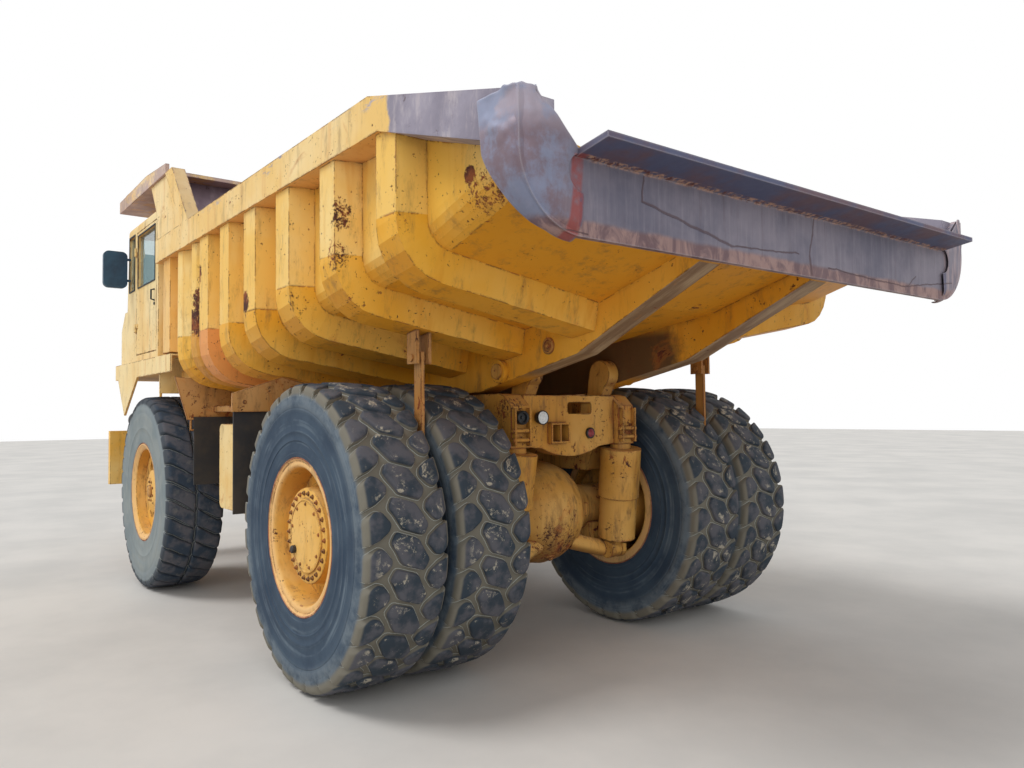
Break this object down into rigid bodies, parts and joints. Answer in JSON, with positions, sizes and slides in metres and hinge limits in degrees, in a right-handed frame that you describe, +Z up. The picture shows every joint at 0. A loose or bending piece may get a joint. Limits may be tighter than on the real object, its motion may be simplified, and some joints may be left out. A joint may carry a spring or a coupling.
{
  "type": "rigid dump truck",
  "caption": "Rigid mining dump truck with a ribbed tipping bed, cab canopy, lengthening hoists, steered front wheels and twin rear wheels.",
  "frame": {"origin": "on the ground, under the middle of the truck's overall length and width", "axes": "+X the driving direction, +Y the truck's left side, +Z up"},
  "size_m": [8, 4.08, 3.898],
  "materials": {
    "amber_paint": "worn satin",
    "cream_paint": "faded satin",
    "orange_paint": "worn satin",
    "frame_paint": "dusty satin",
    "worn_steel": "scuffed",
    "bed_steel": "scoured",
    "dark_iron": "oily",
    "hoist_steel": "polished",
    "tyre_rubber": "dusty",
    "flap_rubber": "matt",
    "rim_paint": "worn satin",
    "pane": "clear",
    "seat_cloth": "woven",
    "black_plastic": "matt",
    "lamp_plastic": "clear"
  },
  "bodies": {
    "chassis": {"chassis_frame": "frame_paint", "axle_housing": "frame_paint", "suspension_cylinders": "frame_paint", "engine_block": "dark_iron", "gearbox_shaft": "dark_iron", "front_struts": "frame_paint", "left_deck": "cream_paint", "right_deck": "cream_paint", "mud_plates": "worn_steel", "mud_flaps": "flap_rubber", "hydraulic_tank": "cream_paint", "fuel_tank": "cream_paint", "cab_shell": "cream_paint", "cab_glass": "pane", "driver_seat": "seat_cloth", "steering_column": "black_plastic", "air_cleaner": "cream_paint", "bonnet": "cream_paint", "radiator_grille": "amber_paint", "front_bumper": "amber_paint", "lamps": "lamp_plastic", "mirrors": "black_plastic", "ladders": "amber_paint"},
    "bed": {"bed_floor": "bed_steel", "bed_sides": "amber_paint", "upper_ribs": "amber_paint", "lower_ribs": "orange_paint", "rim_rails": "cream_paint", "front_wall": "cream_paint", "canopy": "cream_paint", "bed_rails": "orange_paint", "tail_band": "worn_steel", "rock_bars": "worn_steel"},
    "hoist_barrel_pair": {"hoist_barrels": "frame_paint"},
    "hoist_stage_pair": {"hoist_stages": "hoist_steel"},
    "hoist_rod_pair": {"hoist_rods": "hoist_steel"},
    "left_knuckle": {"knuckle_left": "frame_paint"},
    "right_knuckle": {"knuckle_right": "frame_paint"},
    "steering_link": {"tie_rod": "dark_iron"},
    "front_wheel_left": {"front_tyre_left": "tyre_rubber", "front_rim_left": "rim_paint"},
    "front_wheel_right": {"front_tyre_right": "tyre_rubber", "front_rim_right": "rim_paint"},
    "rear_wheels_left": {"rear_tyres_left": "tyre_rubber", "rear_rims_left": "rim_paint"},
    "rear_wheels_right": {"rear_tyres_right": "tyre_rubber", "rear_rims_right": "rim_paint"},
    "door": {"cab_door": "cream_paint", "door_glass": "pane"}
  },
  "joints": [
    {"name": "bed_tip", "type": "hinge", "parent": "chassis", "child": "bed", "pos_m": [-2.02, 0, 1.87], "axis": [0, -1, 0], "range_deg": [0, 55]},
    {"name": "hoist_swing", "type": "hinge", "parent": "chassis", "child": "hoist_barrel_pair", "pos_m": [-0.49, 0, 0.6], "axis": [0, -1, 0], "range_deg": [0, 21.2]},
    {"name": "hoist_stage_slide", "type": "slide", "parent": "hoist_barrel_pair", "child": "hoist_stage_pair", "axis": [0.2183, 0, 0.9759], "range_m": [0, 0.76]},
    {"name": "hoist_rod_slide", "type": "slide", "parent": "hoist_stage_pair", "child": "hoist_rod_pair", "axis": [0.2183, 0, 0.9759], "range_m": [0, 0.76]},
    {"name": "steer_left", "type": "hinge", "parent": "chassis", "child": "left_knuckle", "pos_m": [2.02, 1.05, 0.9], "axis": [0, 0, 1], "range_deg": [-37, 37]},
    {"name": "steer_right", "type": "hinge", "parent": "chassis", "child": "right_knuckle", "pos_m": [2.02, -1.05, 0.9], "axis": [0, 0, 1], "range_deg": [-37, 37]},
    {"name": "link_turn", "type": "hinge", "parent": "left_knuckle", "child": "steering_link", "pos_m": [1.7, 1.05, 0.89], "axis": [0, 0, 1], "range_deg": [-37, 37]},
    {"name": "front_roll_left", "type": "hinge", "parent": "left_knuckle", "child": "front_wheel_left", "pos_m": [2.02, 1.53, 0.9], "axis": [0, 1, 0], "continuous": true},
    {"name": "front_roll_right", "type": "hinge", "parent": "right_knuckle", "child": "front_wheel_right", "pos_m": [2.02, -1.53, 0.9], "axis": [0, 1, 0], "continuous": true},
    {"name": "rear_roll_left", "type": "hinge", "parent": "chassis", "child": "rear_wheels_left", "pos_m": [-1.64, 1.255, 0.9], "axis": [0, 1, 0], "continuous": true},
    {"name": "rear_roll_right", "type": "hinge", "parent": "chassis", "child": "rear_wheels_right", "pos_m": [-1.64, -1.255, 0.9], "axis": [0, 1, 0], "continuous": true},
    {"name": "door_swing", "type": "hinge", "parent": "chassis", "child": "door", "pos_m": [2.207, 1.802, 2.8], "axis": [0, 0, -1], "range_deg": [0, 80]}
  ],
  "couplings": [
    {"joint": "hoist_swing", "follows": "bed_tip", "ratio": 0.38475},
    {"joint": "hoist_stage_slide", "follows": "bed_tip", "m_per_rad": 0.79138},
    {"joint": "hoist_rod_slide", "follows": "bed_tip", "m_per_rad": 0.79138},
    {"joint": "steer_right", "follows": "steer_left", "ratio": 1},
    {"joint": "link_turn", "follows": "steer_left", "ratio": -1}
  ]
}
